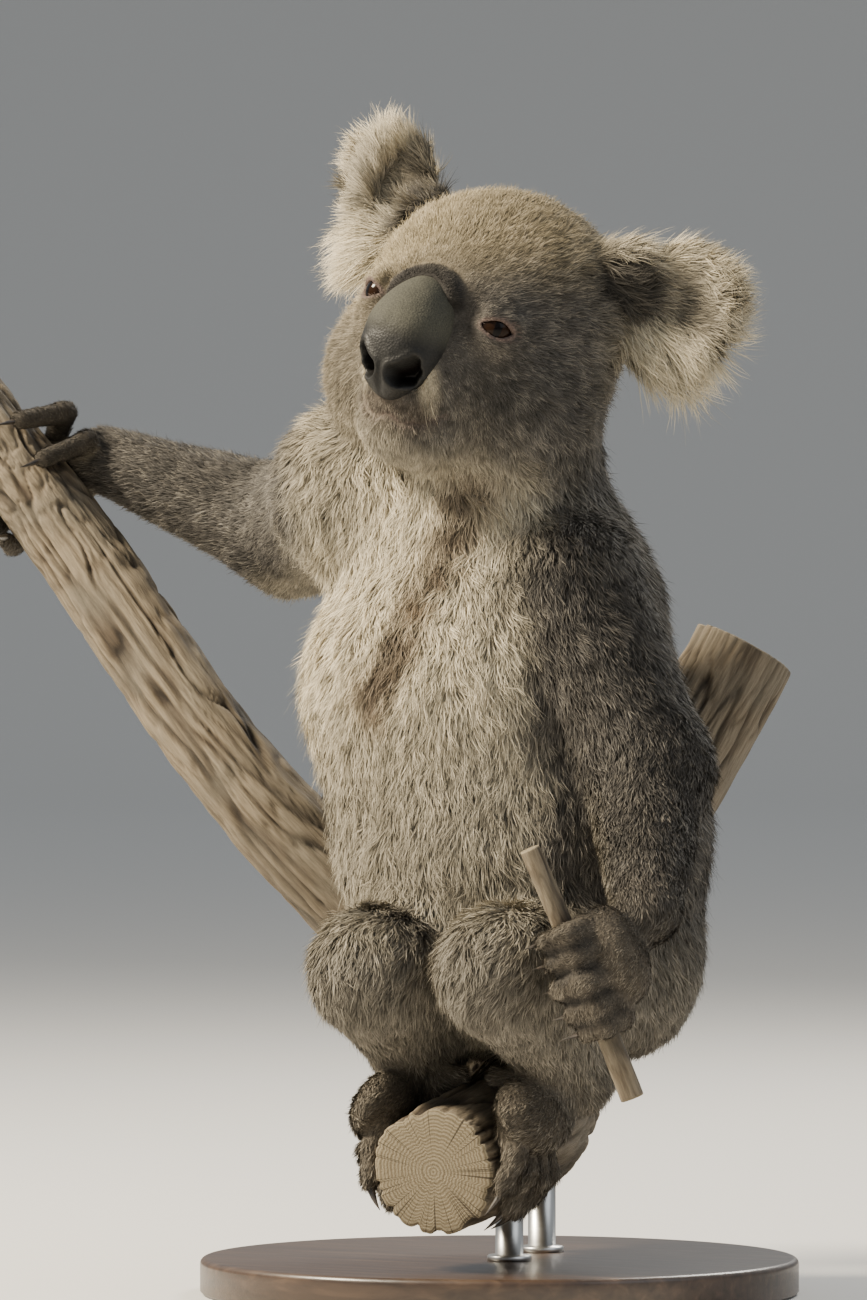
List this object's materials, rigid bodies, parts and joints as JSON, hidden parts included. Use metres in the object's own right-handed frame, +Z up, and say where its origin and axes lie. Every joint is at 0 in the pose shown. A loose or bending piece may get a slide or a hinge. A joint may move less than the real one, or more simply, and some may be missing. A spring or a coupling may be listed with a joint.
{
  "type": "koala model",
  "caption": "Life-size still model of a sitting koala in the fork of a short cut branch, one arm stretched along a limb, on a round display stand.",
  "frame": {"origin": "centre of the whole model's footprint box, on the floor under the stand base", "axes": "+Z up, the koala faces -Y and its left side is +X"},
  "size_m": [0.4902, 0.3194, 0.5905],
  "materials": {
    "coat": "dense salt-and-pepper grey-brown fur, cream on the chest and belly",
    "ear_coat": "long loose white and grey ear hair",
    "hand_coat": "short dark grey-brown fur over rough pads",
    "claw": "black horn, semi-gloss",
    "nose": "slate-black finely pebbled leathery skin",
    "eye": "wet brown iris with a vertical slit pupil",
    "bark": "grey-brown weathered bark with wavy lengthwise grooves",
    "base_wood": "dark stained wood, satin",
    "steel": "satin steel"
  },
  "bodies": {
    "root": {"stand_base": "base_wood", "stand_rod_1": "steel", "stand_rod_2": "steel", "perch_log": "bark", "perch_limb": "bark", "perch_stump": "bark", "perch_twig": "bark", "trunk": "coat", "neck": "coat", "head": "coat", "nose": "nose", "eye_left": "eye", "ear_left": "ear_coat", "upper_arm_left": "coat", "forearm_left": "coat", "hand_left": "hand_coat", "thigh_left": "coat", "shin_left": "coat", "foot_left": "hand_coat", "eye_right": "eye", "ear_right": "ear_coat", "upper_arm_right": "coat", "forearm_right": "coat", "hand_right": "hand_coat", "thigh_right": "coat", "shin_right": "coat", "foot_right": "hand_coat"}
  },
  "joints": []
}
